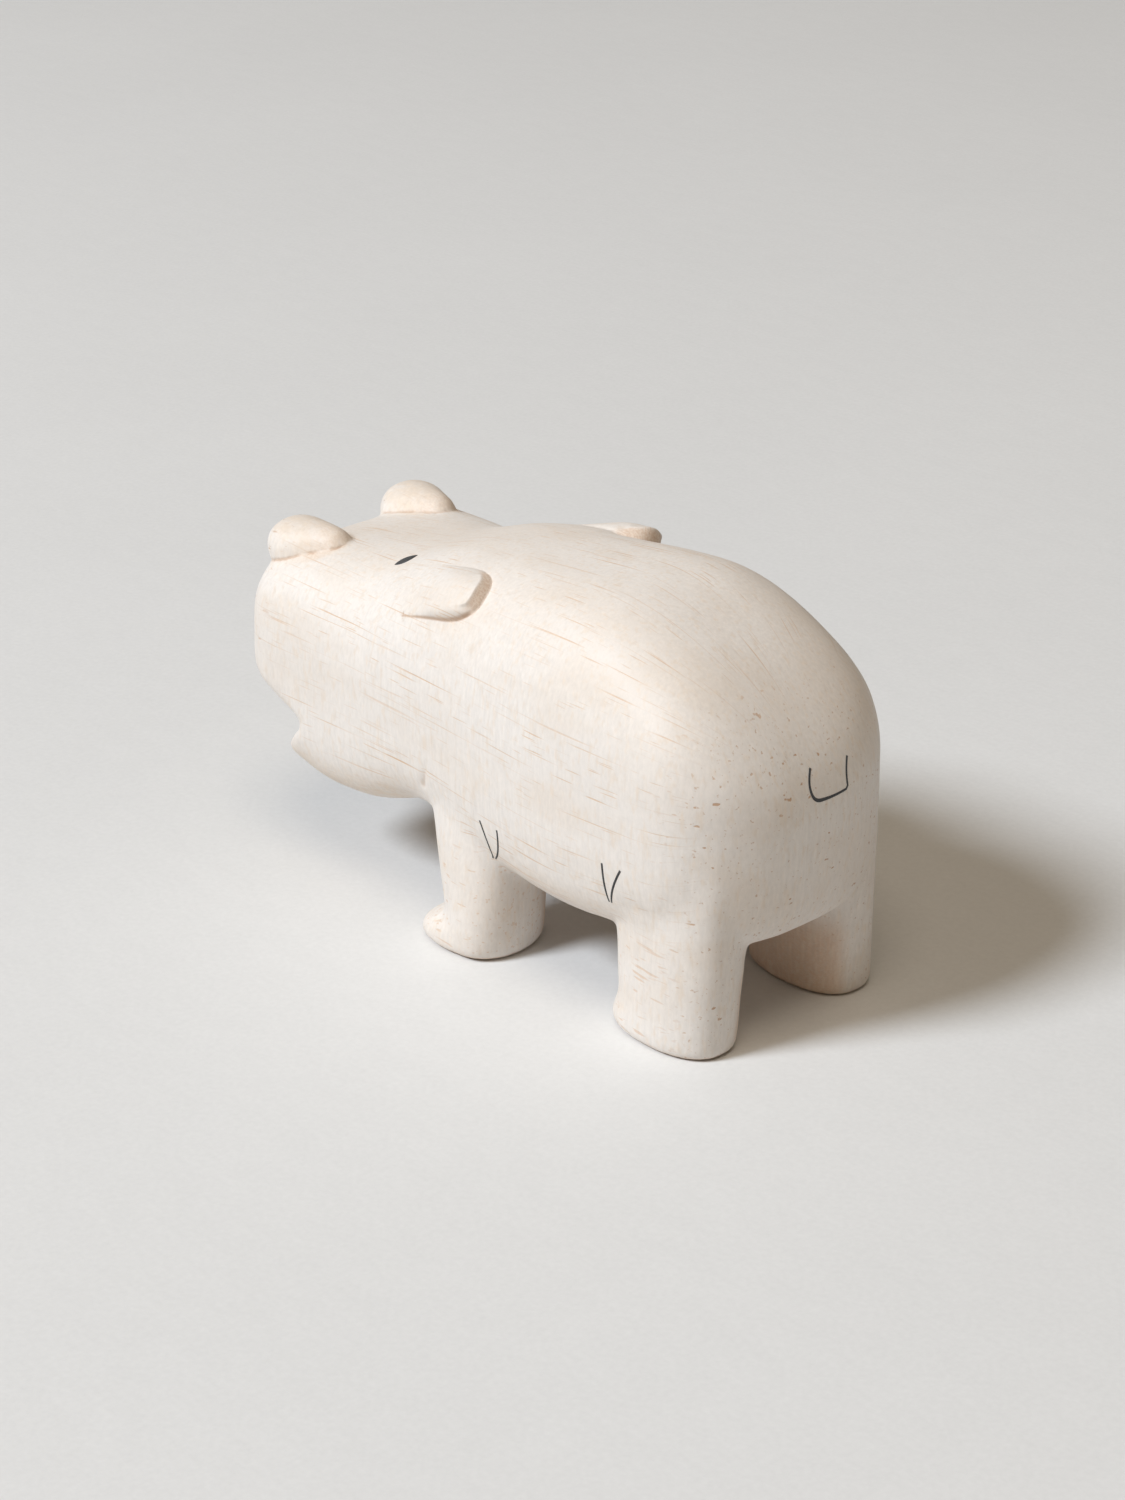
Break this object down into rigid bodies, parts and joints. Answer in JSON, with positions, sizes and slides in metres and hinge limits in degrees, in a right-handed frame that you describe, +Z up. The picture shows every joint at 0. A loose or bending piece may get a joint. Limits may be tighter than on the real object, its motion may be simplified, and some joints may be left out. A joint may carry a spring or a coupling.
{
  "type": "wooden hippo figurine",
  "caption": "Small standing hippopotamus carved from one block of pale whitewashed wood, with eyes, leg folds and tail drawn on in dark ink; a free-standing ornament.",
  "frame": {"origin": "on the floor, under the middle of the figure's length and width", "axes": "+X along the animal from the muzzle to the rump, -Y towards its left side, +Z up"},
  "size_m": [0.1049, 0.0448, 0.0594],
  "materials": {
    "wood": "satin whitewash, sanded, with short brown pores along the grain",
    "ink": "matt pen ink"
  },
  "bodies": {
    "root": {"carved_body": "wood", "left_eye": "ink", "right_eye": "ink", "tail_line": "ink", "front_left_fold_fore": "ink", "front_left_fold_aft": "ink", "front_right_fold_fore": "ink", "front_right_fold_aft": "ink", "hind_left_fold_fore": "ink", "hind_left_fold_aft": "ink", "hind_right_fold_fore": "ink", "hind_right_fold_aft": "ink"}
  },
  "joints": []
}
